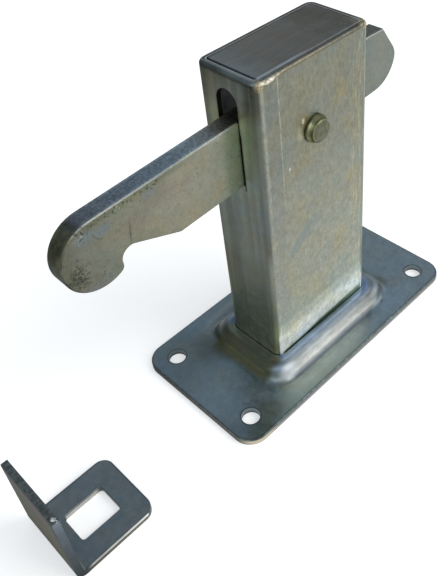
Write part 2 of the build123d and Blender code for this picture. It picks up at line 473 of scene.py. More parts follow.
# The slope's tones are painted light: a pale highlight band along its middle, darker over the crown and foot
# fillets where the lamp reflects, and lighter or darker lengthwise by the gains added to the grain below.
slope = graded(
    from_post,
    [(0.0, (0.17, 0.25, 0.29)), (0.9, (0.12, 0.168, 0.245)), (2.0, (0.122, 0.168, 0.27)),
     (3.0, (0.20, 0.26, 0.36)), (4.2, (0.22, 0.265, 0.315)), (5.3, (0.235, 0.26, 0.27)),
     (6.2, (0.41, 0.435, 0.43)), (7.2, (0.585, 0.60, 0.58)), (7.8, (0.49, 0.50, 0.47)),
     (8.5, (0.26, 0.28, 0.285)), (9.4, (0.165, 0.19, 0.215)), (10.6, (0.17, 0.205, 0.225)),
     (11.6, (0.19, 0.235, 0.25)), (13.5, (0.26, 0.31, 0.32)), (16.0, (0.31, 0.365, 0.40))],
)
ledge_gain = product(ramp(x, 12.0, 24.0, 0.0, 0.75), ramp(from_post, 4.0, 2.0))
slope_loss = product(ramp(x, 8.0, 30.0, 0.0, 0.38), ramp(from_post, 4.0, 5.5),
                     ramp(from_post, 7.0, 8.5, 1.0, 0.2))
middle_gain = product(near(point, (-11.0, -22.0, 5.0), (14.0, 9.0, 9.0)), 0.15)
frost_and_painted_light = ramp(mottle(point, (3.5, 2.0, 2.0), 4.0), 0.35, 0.65, 0.92, 1.06)
frost_and_painted_light = less(arith("ADD", frost_and_painted_light, ledge_gain), slope_loss)
slope = scale(slope, arith("ADD", frost_and_painted_light, middle_gain))
corner_cool = product(ramp(x, -26.0, -35.0), ramp(y, -13.0, -16.0))
corner_upper = product(corner_cool, ramp(from_post, 9.0, 8.0))
slope = shade(slope, corner_upper, (0.48, 0.60, 0.74))
corner_lower = product(corner_cool, ramp(from_post, 8.0, 9.0))
right_fade = product(ramp(x, 27.0, 34.0), ramp(from_post, 3.0, 5.0), 0.9)
slope = layers(
    slope,
    (corner_lower, (0.22, 0.255, 0.25)),
    (right_fade, (0.19, 0.235, 0.27)),
)
terrace = product(long_side, ramp(x, 27.0, 14.0))
pad_reach = arith("MULTIPLY_ADD", terrace, 6.0, 10.5)
on_pad = ramp(less(pad_reach, from_post), 0.0, 3.0)
right_foot = product(stripe(from_post, 9.6, 3.2, 2.0), ramp(x, 28.0, 31.0),
                     ramp(y, -15.0, -18.0))
tone = layers(
    tone,
    (on_pad, slope),
    (right_foot, (0.13, 0.16, 0.18)),
)
tone = spots(point, tone, [((40.5, -15.5, 4.5), (6.0, 6.5, 6.0), 0.75, (0.155, 0.155, 0.125))])
# A painted highlight on the near corner of the pad's foot, made less metallic so that it stays pale.
corner_highlight = near(point, (-30.5, -21.3, 5.5), (7.0, 3.8, 5.0))
tone = tint(tone, product(corner_highlight, 0.6), (0.72, 0.76, 0.79))
whiten(shader, product(corner_highlight, 0.32))

across = arith("ADD", side_y, arith("MULTIPLY", wobble, 0.35))
hook_end = product(ramp(x, 1.0, -1.0), ramp(across, 18.5, 15.0))
tail_end = product(ramp(x, -1.0, 1.0), ramp(across, 15.0, 4.0), 0.85)
olive_ends = product(greatest(hook_end, tail_end), ramp(side_x, 29.0, 31.0))
olive_reach = arith("ADD", from_post, arith("MULTIPLY", wobble, 0.6))
olive_reach = arith("MULTIPLY_ADD", ramp(y, 2.0, 12.0), -1.5, olive_reach)
olive_share = product(olive_ends, ramp(olive_reach, 14.5, 9.0))
# The olive is lighter right beside the post, painted light against the post's shade there, and darker on the
# far side.
olive = graded(
    from_post,
    [(0.0, (0.42, 0.45, 0.36)), (1.5, (0.25, 0.265, 0.215)), (3.0, (0.23, 0.245, 0.20)),
     (4.2, (0.125, 0.13, 0.105)), (5.2, (0.112, 0.118, 0.088)), (6.4, (0.13, 0.14, 0.105)),
     (7.6, (0.195, 0.21, 0.15)), (9.0, (0.13, 0.135, 0.08)), (12.0, (0.13, 0.14, 0.10))],
)
olive = scale(olive, ramp(y, 7.0, 14.0, 1.0, 0.75))
olive = clouded(point, olive, (1.10, 1.0, 0.80), (0.85, 1.0, 0.95), size=5.0, amount=0.8)
far_corner = product(near(point, (-41.0, 15.0, 6.0), (17.0, 15.0, 9.0)),
                     ramp(x, -27.0, -30.0), 0.8)
tone = layers(
    tone,
    (far_corner, (0.115, 0.135, 0.13)),
    (olive_share, olive),
)

rim = product(outline_distance(x, y, plate_half, plate_corner), -1.0)
rim_broken = ramp(mottle(point, 1.6, 3.0), 0.30, 0.55, 0.35, 1.0)
# Darker along the rim, in broken patches.
rim_darkening = product(ramp(rim, 1.2, 0.36), rim_broken, 0.8)
tone = tint(tone, rim_darkening, (0.10, 0.105, 0.09))
roll_shade = product(stripe(rim, 0.5, 0.9, 0.4), ramp(y, -31.0, -33.0), 0.8)
tone = shade(tone, roll_shade, (0.55, 0.58, 0.60))
cut = product(ramp(rim, 0.4, 0.1), ramp(z, 2.6, 2.1))
near_cut = graded(z, [(0.0, (0.36, 0.36, 0.34)), (0.8, (0.28, 0.285, 0.27)), (1.4, (0.19, 0.20, 0.19)),
                            (2.4, (0.13, 0.14, 0.135))])
bright_tip = product(cut, near(point, (-62.0, -34.0, 1.5), (13.0, 9.0, 4.0)))
from_hole = hypotenuse(less(side_x, hole_place[0]), less(side_y, hole_place[1]))
from_hole = less(from_hole, hole_radius)
in_hole = ramp(from_hole, 0.2, 0.05)
# Below, the holes' walls carry painted shade, nearly black towards the bottom.
tone = layers(
    tone,
    (cut, tint((0.05, 0.05, 0.04), ramp(y, -34.3, -34.8), near_cut)),
    (bright_tip, (0.50, 0.46, 0.34)),
    (stripe(from_hole, 0.35, 0.6, 0.4), (0.12, 0.15, 0.16)),
    (in_hole, (0.16, 0.20, 0.215)),
    (product(in_hole, ramp(z, 1.2, 0.4)), (0.03, 0.03, 0.03)),
)
rubbed = product(ramp(from_post, 2.5, 5.0), ramp(from_post, 10.5, 8.5))
plate_roughness = arith("MULTIPLY_ADD", rubbed, 0.24, 0.40)
finish_plating(shader, point, tone, grain_size=1.1, contrast=0.14, roughness=plate_roughness, bump=0.25)

# Post
# Drawn rectangular tube with a faint yellow passivation, frosted on its broad sides and banded
# lengthwise on its narrow ones. A drawing line runs down beside the front edge, and its top is
# ground together with the cap and the cap's weld.
rim_height = 1.5


def box_mm(name):
    """The low and the high corner of a CAD node's box, in millimetres."""
    return [Vector(corner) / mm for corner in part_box(name)]


post_top = box_mm("post_tube")[1].z
broad_y = -post_half[1]

ground_group, given, result = new_group("ground_top", [("Point", "Vector")], [("Color", "Color")])
point = given["Point"]
x, y, z = place(ground_group, "ShaderNodeSeparateXYZ", point).outputs
tone = graded(
    x,
    [(-30.0, (0.16, 0.19, 0.195)), (-22.0, (0.14, 0.16, 0.157)), (-12.0, (0.128, 0.126, 0.116)),
     (5.0, (0.113, 0.110, 0.098)), (13.0, (0.080, 0.081, 0.069)), (22.0, (0.064, 0.065, 0.056)),
     (28.0, (0.070, 0.072, 0.064)), (30.0, (0.10, 0.105, 0.09))],
)
from_side = outline_distance(x, y, post_half, post_corner)
right_border = product(ramp(x, 24.0, 26.0), ramp(y, -9.0, -6.0))
far_border = greatest(ramp(y, 1.0, 5.0), right_border)
border_shade = product(ramp(from_side, -3.8, -3.4), far_border, 0.9)
tone = shade(tone, border_shade, (0.45, 0.46, 0.47))
tone = spots(point, tone, [((27.5, -11.5, post_top), (5.0, 5.0, 4.0), 0.7, (0.15, 0.155, 0.12))])
grinding = ramp(mottle(point, (14.0, 1.7, 9.0), 3.0), 0.38, 0.62, 0.94, 1.07)
tone = scale(tone, grinding)
blue_cloud = ramp(mottle(point, 6.0, 3.0), 0.45, 0.65)
brown_stain = ramp(mottle(point, 2.2, 4.0, 0.65), 0.60, 0.70)
tone = layers(
    tone,
    (product(blue_cloud, 0.5), (0.105, 0.125, 0.135)),
    (product(brown_stain, 0.4), (0.15, 0.13, 0.09)),
)
tone = spots(point, tone, [((-26.0, -4.0, post_top), (5.0, 12.0, 4.0), 0.5, (0.19, 0.245, 0.255))])
ground_specks = ramp(mottle(point, 0.9, 2.0), 0.66, 0.74)
ground_specks = product(ground_specks, ramp(x, -5.0, 12.0, 0.3, 1.0), 0.7)
tone = tint(tone, ground_specks, (0.26, 0.24, 0.19))
feed(result["Color"], tone)

shader, point, x, y, z = start_material("post_tube")
side_y = arith("ABSOLUTE", y)
# It is 15 along a corner's middle, less on the broad sides and more on the narrow ones.
corner_side = less(arith("ABSOLUTE", x), side_y)
front = ramp(y, -12.0, -13.0)
left = ramp(x, -10.0, -14.0)

# The broad sides' tone is painted light: near white at the foot and darker upwards.
broad = graded(
    z,
    [(8.0, (0.98, 0.97, 0.85)), (17.0, (0.90, 0.88, 0.78)), (24.0, (0.52, 0.525, 0.435)),
     (29.0, (0.37, 0.38, 0.31)), (50.0, (0.313, 0.317, 0.257)), (85.0, (0.262, 0.266, 0.215)),
     (115.0, (0.215, 0.219, 0.176)), (146.0, (0.202, 0.208, 0.168))],
)
broad = clouded(point, broad, (1.08, 1.0, 0.84), (0.92, 0.99, 1.05), size=11.0, amount=0.7)
cool_strip = product(ramp(x, -19.0, -21.0), ramp(z, 20.0, 40.0))
broad = shade(broad, cool_strip, (0.91, 0.93, 1.0))
gold = 0.0
for gold_x, gold_z, reach in (
    (13.6, 125.0, 6.0), (16.5, 109.0, 5.0), (-6.8, 103.5, 4.0),
    (12.7, 55.0, 6.0), (18.5, 81.5, 5.0), (20.0, 118.0, 4.0),
):
    stain = near(point, (gold_x, broad_y, gold_z), (reach, 6.0, reach * 1.5))
    gold = greatest(gold, stain)
flecks = ramp(mottle(point, (1.6, 1.6, 3.0), 4.0, 0.65), 0.40, 0.62)
broad = shade(broad, product(gold, flecks, front, 0.8), (1.16, 1.05, 0.78))
pale = ramp(mottle(point, (0.9, 0.9, 7.0), 3.0), 0.52, 0.66)
pale = product(pale, stripe(x, 23.0, 7.0, 4.0), 0.7)
broad = shade(broad, pale, (1.5, 1.45, 1.35))
drawn_grain = ramp(mottle(point, (0.8, 0.8, 2.6), 2.0), 0.35, 0.65, 0.93, 1.07)
broad = scale(broad, drawn_grain)
broad = shade(broad, ramp(x, 25.4, 26.4), (0.80, 0.85, 0.90))
dots = ramp(mottle(point, (2.0, 2.0, 1.6), 2.0), 0.36, 0.56, 0.25, 1.0)
drawing_line = product(front, stripe(x, -19.6, 0.5, 0.4), ramp(z, 86.0, 100.0), dots, 0.75)
bruise = less(arith("MULTIPLY_ADD", x, -0.75, z), 76.0)
bruise = product(front, stripe(bruise, 0.0, 6.0, 6.0),
                 near(point, (-11.0, broad_y, 67.0), (15.0, 9.0, 17.0)), 0.75)
broad = layers(
    broad,
    (drawing_line, (0.40, 0.40, 0.315)),
    (bruise, (0.20, 0.245, 0.235)),
)
# The first three spots are painted light round the rivet's head: a warm halo and a glint beside it, and a
# lighter patch below where the head's shade falls. The last is a chip.
broad = spots(
    point, broad,
    [((-7.4, broad_y, 120.8), (3.2, 5.0, 4.4), 0.55, (0.34, 0.28, 0.15)),
     ((-8.0, broad_y, 121.2), (1.1, 5.0, 1.7), 0.9, (0.85, 0.76, 0.54)),
     ((-9.4, broad_y, 116.8), (2.6, 5.0, 4.5), 0.8, (0.40, 0.39, 0.27)),
     ((-16.1, broad_y, 104.4), (0.8, 5.0, 1.1), 1.0, (0.50, 0.50, 0.42))],
)

# The narrow sides' tone is painted light that changes with height.
narrow = graded(
    z,
    [(8.0, (0.33, 0.355, 0.30)), (20.0, (0.31, 0.335, 0.265)), (32.0, (0.275, 0.295, 0.235)),
     (42.0, (0.285, 0.305, 0.25)), (55.0, (0.33, 0.34, 0.29)), (68.0, (0.42, 0.44, 0.40)),
     (90.0, (0.45, 0.51, 0.50)), (102.0, (0.53, 0.60, 0.55)), (114.0, (0.68, 0.70, 0.58)),
     (127.0, (0.62, 0.66, 0.51)), (138.0, (0.41, 0.41, 0.365)), (146.0, (0.30, 0.305, 0.265))],
)
bands = ramp(mottle(point, (3.0, 4.0, 90.0), 1.0), 0.35, 0.65, 0.86, 1.12)
narrow = scale(narrow, bands)
narrow = clouded(point, narrow, (1.04, 0.97, 0.80), (0.90, 1.0, 1.04), size=13.0, amount=0.8)
dark_right = product(ramp(y, -8.5, -10.5), ramp(z, 128.0, 138.0), 0.35)
narrow = tint(narrow, dark_right, (0.20, 0.205, 0.14))
# These gains paint light and shade on the narrow side of each corner: darker next to the corner higher up,
# lighter near the foot.
high_corner = graded(
    corner_side,
    [(13.5, 0.22), (14.5, 0.21), (15.5, 0.28), (16.5, 0.37), (17.4, 0.54), (18.2, 0.68), (19.0, 0.72),
     (20.5, 0.76), (23.0, 1.0)],
)
middle_corner = graded(
    corner_side,
    [(13.5, 0.30), (14.5, 0.30), (15.5, 0.33), (16.5, 0.42), (17.4, 0.73), (18.2, 0.95), (19.0, 1.0)],
)
low_corner = graded(
    corner_side,
    [(13.5, 0.70), (14.5, 0.78), (15.5, 0.76), (16.5, 0.68), (17.4, 0.72), (18.2, 0.84), (19.0, 0.95),
     (21.0, 1.0)],
)
foot_corner = graded(
    corner_side,
    [(13.5, (1.25, 1.25, 0.95)), (14.5, (1.25, 1.25, 0.90)), (15.5, (1.25, 1.28, 0.85)),
     (16.5, (0.95, 0.95, 0.75)), (17.4, (0.85, 0.85, 0.75)), (19.0, 1.0)],
)
corner_gain = tint(foot_corner, ramp(z, 20.0, 34.0), low_corner)
corner_gain = layers(
    corner_gain,
    (ramp(z, 56.0, 72.0), middle_corner),
    (ramp(z, 92.0, 112.0), high_corner),
)
narrow = times(narrow, corner_gain)
# Painted shade in the walls of the post's slot for the hook, and a near black painted shadow round its lip.
slot_wall_shade = product(ramp(side_y, 5.6, 5.4), stripe(x, -28.7, 2.3, 0.1), 0.9)
slot_lip_shade = product(stripe(side_y, 5.4, 0.7, 0.4), ramp(z, 97.0, 98.0),
                   ramp(z, 124.0, 122.0), left, 0.85)
narrow = layers(
    narrow,
    (slot_wall_shade, (0.045, 0.042, 0.04)),
    (slot_lip_shade, (0.02, 0.02, 0.02)),
)

tone = tint(broad, ramp(corner_side, 12.8, 14.2), narrow)
from_side = outline_distance(x, y, post_half, post_corner)
outside = ramp(from_side, -0.7, -0.3)
# Painted highlights: a light line down each corner, brighter higher up, and a white highlight at each
# corner's foot, made less metallic below.
highlight_gain = graded(
    z,
    [(25.0, 1.15), (40.0, 0.95), (60.0, 1.0), (80.0, 1.2), (95.0, 1.4), (112.0, 1.65),
     (146.0, (1.7, 1.7, 1.6))],
)
corner_line_highlight = product(stripe(corner_side, 12.2, 1.3, 1.0), outside, 0.65)
foot_highlight = product(stripe(corner_side, 12.9, 2.0, 1.0), outside,
                      ramp(z, 24.0, 17.0))
high_line = product(stripe(y, -11.8, 0.6, 0.5), ramp(z, 112.0, 124.0), left, 0.5)
tone = layers(
    tone,
    (corner_line_highlight, times(broad, highlight_gain)),
    (foot_highlight, (1.0, 1.0, 0.97)),
    (high_line, (0.34, 0.34, 0.27)),
)
# Painted shade at the foot of the broad sides: an olive darkening and a dark line in the joint with the pad.
# On the narrow sides painted light lifts the foot.
foot_line = less(z, ramp(x, -16.0, 0.0, -0.5, 0.8))
foot_line = less(foot_line, ramp(x, 4.0, 20.0, 0.0, 0.7))
foot_side = ramp(corner_side, 12.5, 10.0)
foot_shade = product(ramp(foot_line, pad_top + 3.2, pad_top + 1.0), foot_side, 0.75)
tone = shade(tone, foot_shade, (0.50, 0.56, 0.38))
foot_joint_shade = product(ramp(foot_line, pad_top + 1.7, pad_top + 0.9), foot_side)
foot_tone = tint((0.11, 0.155, 0.065), ramp(x, 4.0, 20.0), (0.22, 0.27, 0.16))
end_foot_light = product(ramp(z, pad_top + 2.5, pad_top + 0.3),
                   ramp(corner_side, 14.0, 16.0), 0.3)
tone = layers(
    tone,
    (foot_joint_shade, foot_tone),
    (end_foot_light, (0.50, 0.54, 0.44)),
)

ground = use_group(ground_group, {"Point": point})["Color"]
# A painted highlight along the top of the front wall, beside the cap's groove.
rim_highlight = product(stripe(x, -28.3, 0.6, 0.5),
                    ramp(z, post_top - 0.5, post_top - 0.2), 0.6)
rim_dark = product(stripe(z, post_top - rim_height, 0.8, 0.6),
                   ramp(corner_side, 13.5, 16.0), 0.55)
gilt_lumps = ramp(mottle(point, (1.6, 1.2, 1.2), 3.0, 0.6), 0.38, 0.60)
gilt_fade = graded(x, [(-30.0, 1.0), (-12.0, 0.7), (-4.0, 0.5), (14.0, 0.3), (22.0, 0.5), (30.0, 1.0)])
gilt = product(stripe(arith("ADD", z, y), post_top - 15.3, 1.6, 1.0),
               ramp(y, -13.2, -13.6), gilt_fade, 0.9)
tone = layers(
    tone,
    (ramp(z, post_top - rim_height, post_top - rim_height + 0.6), ground),
    (rim_highlight, (0.24, 0.29, 0.30)),
    (rim_dark, (0.05, 0.055, 0.05)),
    (gilt, tint((0.12, 0.115, 0.07), gilt_lumps, (0.24, 0.205, 0.125))),
)
crust = ramp(mottle(point, 0.75, 3.0, 0.6), 0.42, 0.60)
crust = tint((0.17, 0.145, 0.07), crust, (0.50, 0.43, 0.26))
tone = spots(point, tone, [((-27.2, -14.2, post_top - 1.6), (2.4, 2.0, 3.0), 0.85, crust)])
tone = spots(
    point, tone,
    [((27.5, -13.5, post_top - 0.5), (4.0, 4.0, 2.5), gilt_lumps, (0.42, 0.36, 0.22))],
)
inside = ramp(from_side, -2.2, -2.6)
tone = tint(tone, inside, (0.75, 0.75, 0.79))
whiten(shader, arith("ADD", product(inside, 0.8), product(foot_highlight, 0.4)))
post_contrast = ramp(corner_side, 13.0, 15.5, 0.30, 0.16)
finish_plating(shader, point, tone, grain_size=0.8, contrast=post_contrast, roughness=0.46, bump=0.3)

# Cap and its weld
# A plate let into the tube's mouth and welded on three sides, then ground flush with the rim.
# The grinding left it brown-grey. A painted bluish highlight runs along the near seam, and painted shade
# darkens the groove at the front.
for name, roughness in (("top_cap", 0.40), ("cap_weld", 0.36)):
    shader, point, x, y, z = start_material(name)
    tone = use_group(ground_group, {"Point": point})["Color"]
    # A painted bluish highlight along the near seam.
    seam_highlight = product(stripe(y, -12.0, 0.8, 0.6), ramp(x, 2.0, -10.0), 0.8)
    tone = tint(tone, seam_highlight, (0.33, 0.42, 0.48))
    dark_side = product(stripe(y, -13.0, 1.0, 0.8), 0.6)
    tone = tint(tone, dark_side, (0.05, 0.055, 0.05))
    # Painted shade in the groove at the front.
    groove_shade = product(ramp(x, -26.0, -26.4), 0.8)
    tone = tint(tone, groove_shade, (0.03, 0.04, 0.045))
    finish_plating(shader, point, tone, grain_size=1.0, contrast=0.20, roughness=roughness, bump=0.3)

# Foot weld
# A plain fillet bead under the pad, all round the tube, with the scale left on it.
shader, point, x, y, z = start_material("foot_weld")
tone = patches(point, (0.24, 0.24, 0.22), (0.30, 0.25, 0.17), (0.20, 0.24, 0.28), size=5.0, amount=0.8)
finish_plating(shader, point, tone, grain_size=1.4, contrast=0.4, roughness=0.5, bump=0.8)

# Rim bead
# Weld metal that ran over the rim at the front corner: it starts on the narrow side, swells to a
# lump just past the corner and thins out along the broad side. Ground above, gold below.
bead_rings = 120
bead_sides = 24
turn_middle = (-26.0, -11.0)
turn_radius = 3.35
turn_start = np.radians(8.0)
straight_run = 30.0
bead_drop = 0.95
thread_radius = 0.30
start_swell = 0.32
swell_length = 12.0
lump_radius = 0.62
lump_place = 0.9
lump_rise = 2.4
lump_fall = 5.0


def closed_tube(name, rings):
    """A mesh through rings of points, rows by rings and columns round each, closed by two poles."""
    count, sides = rings.shape[:2]
    poles = np.array((rings[0].mean(axis=0), rings[-1].mean(axis=0)))
    vertices = np.concatenate((rings.reshape(-1, 3), poles)) * mm
    row, column = np.meshgrid(np.arange(count - 1), np.arange(sides), indexing="ij")
    following = (column + 1) % sides
    here = row * sides + column
    beside = row * sides + following
    quads = np.stack((here, here + sides, beside + sides, beside), axis=-1).reshape(-1, 4)
    around = np.arange(sides)
    first = np.stack((np.full(sides, count * sides), around, (around + 1) % sides), axis=-1)
    last = np.stack((np.full(sides, count * sides + 1), (around + 1) % sides, around), axis=-1)
    last[:, 1:] += (count - 1) * sides
    mesh = bpy.data.meshes.new(name)
    mesh.from_pydata(vertices.tolist(), [], quads.tolist() + first.tolist() + last.tolist())
    mesh.shade_smooth()
    piece = bpy.data.objects.new(name, mesh)
    bpy.context.collection.objects.link(piece)
    return piece


def bead_surface(along, around):
    """A round bead in the rim's rounding. Its line turns round the post's corner and then runs
    straight along X. Its radius is a thread's, plus a swell that fades from the start, plus a lump
    past the corner, a bell that rises faster than it falls. Two waves along it ripple the radius,
    which closes roundly at both ends. The lump is lumpy round its girth, and sinks and stands out."""
    turn_length = turn_radius * (np.pi / 2 - turn_start)
    length = along * (turn_length + straight_run)
    angle = np.minimum(turn_start + length / turn_radius, np.pi / 2)
    straight = np.maximum(length - turn_length, 0.0)
    outward_x = -np.cos(angle)
    outward_y = -np.sin(angle)
    past_lump = length - turn_length - lump_place
    lump = np.exp(-((past_lump / np.where(past_lump < 0.0, lump_rise, lump_fall)) ** 2))
    ripple = 1.0 + 0.16 * np.sin(2.1 * length + 1.3 * np.sin(around)) + 0.12 * np.sin(0.83 * length + 1.0)
    radius = thread_radius + start_swell * np.exp(-length / swell_length) + lump_radius * lump
    radius = radius * ripple * np.sqrt(np.clip(1.0 - (2.0 * along - 1.0) ** 8, 0.0, 1.0))
    girth_lumps = 0.06 * lump * np.sin(4.0 * around + 1.6 * length)
    reach = (radius + girth_lumps) * np.sin(around) + 0.15 * lump
    x = turn_middle[0] + turn_radius * outward_x + straight + reach * outward_x
    y = turn_middle[1] + turn_radius * outward_y + reach * outward_y
    z = post_top - bead_drop - 0.25 * lump + (0.85 * radius + girth_lumps) * np.cos(around)
    return np.stack((x, y, z), axis=-1)


# The rings are numbered backwards, so that the faces point outwards.
along = np.linspace(0.003, 0.997, bead_rings)[:, None]
around = np.linspace(2 * np.pi, 0.0, bead_sides, endpoint=False)[None, :]
rim_bead = closed_tube("rim_bead", bead_surface(along, around))
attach(rim_bead, "root")
shader, point, x, y, z = start_material("rim_bead", rim_bead)
crumbly = ramp(mottle(point, 1.3, 3.0), 0.42, 0.58)
tone = tint((0.13, 0.12, 0.075), crumbly, (0.30, 0.25, 0.15))
# The lump is painted pale as a highlight, and made less metallic so that it stays pale.
lump_highlight = near(point, (-23.6, -15.0, post_top - 0.6), (6.8, 4.0, 3.0))
gold_under = ramp(z, post_top - 2.0, post_top - 1.3, 0.8, 0.0)
bead_specks = product(ramp(mottle(point, 0.8, 2.0), 0.50, 0.62), 0.3)
tone = layers(
    tone,
    (lump_highlight, (0.66, 0.62, 0.50)),
    (gold_under, (0.40, 0.34, 0.20)),
    (bead_specks, (0.16, 0.145, 0.09)),
    (ramp(z, post_top - 0.45, post_top - 0.05), (0.13, 0.14, 0.14)),
)
whiten(shader, product(lump_highlight, ramp(z, post_top - 2.2, post_top - 1.4), 0.5))
finish_plating(shader, point, tone, grain_size=0.8, contrast=0.30, roughness=0.42, bump=0.6)

# Rivet
# A turned steel pin with a conical head in front, closed by pressing behind. Its cone keeps more
# of the yellow passivation than its flat face.
rivet_low, rivet_high = box_mm("pivot_rivet")
rivet_axis = (rivet_low + rivet_high) / 2

shader, point, x, y, z = start_material("pivot_rivet")
tone = patches(point, (0.34, 0.335, 0.18), (0.42, 0.38, 0.17), (0.25, 0.29, 0.17), size=4.0, amount=0.7)
from_axis_x = less(x, rivet_axis.x)
from_axis_z = less(z, rivet_axis.z)
from_axis = hypotenuse(from_axis_x, from_axis_z)
from_face = less(y, rivet_low.y)
scuffs = ramp(mottle(point, (1.2, 4.0, 3.0), 3.0), 0.35, 0.65)
face_tone = tint((0.14, 0.135, 0.085), scuffs, (0.088, 0.092, 0.058))
face_border = product(stripe(from_axis, 4.2, 1.2, 0.8), 0.5)
face_tone = layers(
    face_tone,
    (ramp(from_axis_z, -0.5, -3.0, 0.0, 0.7), (0.15, 0.155, 0.115)),
    (face_border, (0.10, 0.105, 0.07)),
)
face_bevel = product(stripe(from_face, 0.4, 0.5, 0.3), 0.8)
head_groove = product(stripe(from_face, 0.95, 0.9, 0.5), 0.85)
cone_top = product(ramp(from_face, 1.4, 1.7), ramp(from_axis_z, 0.5, 2.5), 0.8)
# A painted highlight arc on the left of the head's cone.
cone_highlight = product(stripe(from_face, 2.2, 0.5, 0.4), ramp(from_axis_x, -1.5, -4.0), 0.9)
tone = layers(
    tone,
    (ramp(from_face, 0.35, 0.1), face_tone),
    (face_bevel, (0.13, 0.13, 0.085)),
    (head_groove, (0.085, 0.10, 0.04)),
    (cone_top, (0.13, 0.14, 0.085)),
    (cone_highlight, (0.46, 0.46, 0.29)),
    (ramp(from_face, 2.75, 3.3, 0.0, 0.85), (0.06, 0.085, 0.03)),
)
finish_plating(shader, point, tone, grain_size=0.8, contrast=0.22, roughness=0.36, bump=0.3)

# Hook
# Flat bar cut to shape and tumbled. Its sides are warm grey with pits near the nose. Its cut edge
# is slate blue along the top and dark round the nose, and its worn arris catches the light.
bar_low, bar_high = box_mm("hook_lever")
bar_middle_y = (bar_low.y + bar_high.y) / 2
bar_half_thickness = (bar_high.y - bar_low.y) / 2
flank_y = bar_low.y
edge_break = 0.45
rest_slope = 0.0507

shader, point, x, y, z = start_material("hook_lever")
flank = graded(
    x,
    [(-107.0, (0.12, 0.12, 0.085)), (-98.0, (0.165, 0.165, 0.13)), (-84.0, (0.19, 0.195, 0.15)),
     (-62.0, (0.25, 0.24, 0.182)), (-44.0, (0.25, 0.242, 0.182)), (-39.5, (0.235, 0.24, 0.178)),
     (-36.0, (0.185, 0.21, 0.15)), (-31.0, (0.175, 0.205, 0.145)), (30.0, (0.14, 0.16, 0.155)),
     (36.0, (0.175, 0.195, 0.18)), (50.0, (0.195, 0.21, 0.18)), (62.0, (0.19, 0.205, 0.178))],
)
flank = clouded(point, flank, (1.06, 0.99, 0.88), (0.92, 0.99, 1.04), size=9.0, amount=0.8)
flank = spots(
    point, flank,
    [((-79.0, flank_y, 114.0), (10.0, 4.0, 6.0), 0.5, (0.21, 0.175, 0.14)),
     ((-59.0, flank_y, 116.5), (14.0, 4.0, 7.0), 0.4, (0.25, 0.23, 0.185)),
     ((-69.0, flank_y, 119.5), (12.0, 4.0, 7.0), 0.7, (0.19, 0.182, 0.145)),
     ((-90.5, flank_y, 119.0), (5.0, 4.0, 3.5), 0.65, (0.145, 0.18, 0.20)),
     ((-97.0, flank_y, 120.2), (4.5, 4.0, 3.5), 0.60, (0.16, 0.205, 0.225)),
     ((-70.5, flank_y, 121.7), (5.0, 4.0, 2.5), 0.65, (0.155, 0.18, 0.185)),
     ((-97.0, flank_y, 99.0), (9.0, 4.0, 3.0), 0.45, (0.15, 0.175, 0.18))],
)
rise = arith("MULTIPLY_ADD", x, -rest_slope, z)
upper_gain = graded(
    x,
    [(-104.0, (0.80, 0.80, 0.72)), (-90.0, (0.76, 0.77, 0.70)), (-81.0, (0.84, 0.86, 0.76)),
     (-71.0, (0.70, 0.78, 0.70)), (-61.0, (0.70, 0.76, 0.76)), (-52.0, (0.82, 0.92, 1.0)),
     (-46.0, (1.05, 1.05, 1.08)), (-40.0, (1.3, 1.25, 1.25)), (-33.0, (1.25, 1.22, 1.22))],
)
upper_band = product(ramp(rise, 125.8, 128.3), ramp(x, -10.0, -20.0))
flank = tint(flank, upper_band, times(flank, upper_gain))
nose_zone = near(point, (-102.0, flank_y, 107.0), (7.0, 6.0, 9.0))
lower_zone = near(point, (-93.0, flank_y, 101.0), (12.0, 6.0, 5.0))
slot_zone = near(point, (-33.0, flank_y, 113.0), (6.0, 6.0, 12.0))
upper_zone = product(stripe(rise, 128.0, 3.6, 2.6), ramp(x, -58.0, -70.0))
upper_zone = greatest(upper_zone, near(point, (-97.5, flank_y, 122.0), (7.0, 6.0, 6.0)))
pit_zone = greatest(0.2, nose_zone, product(upper_zone, 0.75), product(lower_zone, 0.6),
                    product(slot_zone, 0.5))
smudges = arith("MULTIPLY_ADD", nose_zone, 0.22, mottle(point, 2.0, 4.0, 0.65))
smudges = product(ramp(smudges, 0.62, 0.76), 0.55)
pits = arith("MULTIPLY_ADD", pit_zone, 0.20, mottle(point, 0.95, 3.0, 0.6))
flank_crumbs = arith("MULTIPLY_ADD", upper_zone, 0.10, mottle(point, 0.9, 2.0))
flank_crumbs = product(ramp(flank_crumbs, 0.74, 0.80), 0.6)
crease = product(stripe(arith("MULTIPLY_ADD", z, -0.12, x), -94.2, 0.6, 0.6),
                 near(point, (-80.6, flank_y, 112.0), (4.0, 6.0, 6.5)), 0.75)
crescent = hypotenuse(arith("ADD", x, 89.0), less(z, 120.5))
crescent = product(stripe(crescent, 4.9, 0.5, 0.5),
                   near(point, (-92.5, flank_y, 117.5), (4.0, 6.0, 3.5)), 0.6)
flank = layers(
    flank,
    (smudges, (0.045, 0.055, 0.045)),
    (product(ramp(pits, 0.69, 0.77), 0.85), (0.035, 0.043, 0.03)),
    (flank_crumbs, (0.34, 0.34, 0.25)),
    (crease, (0.07, 0.08, 0.06)),
    (crescent, (0.08, 0.09, 0.07)),
)

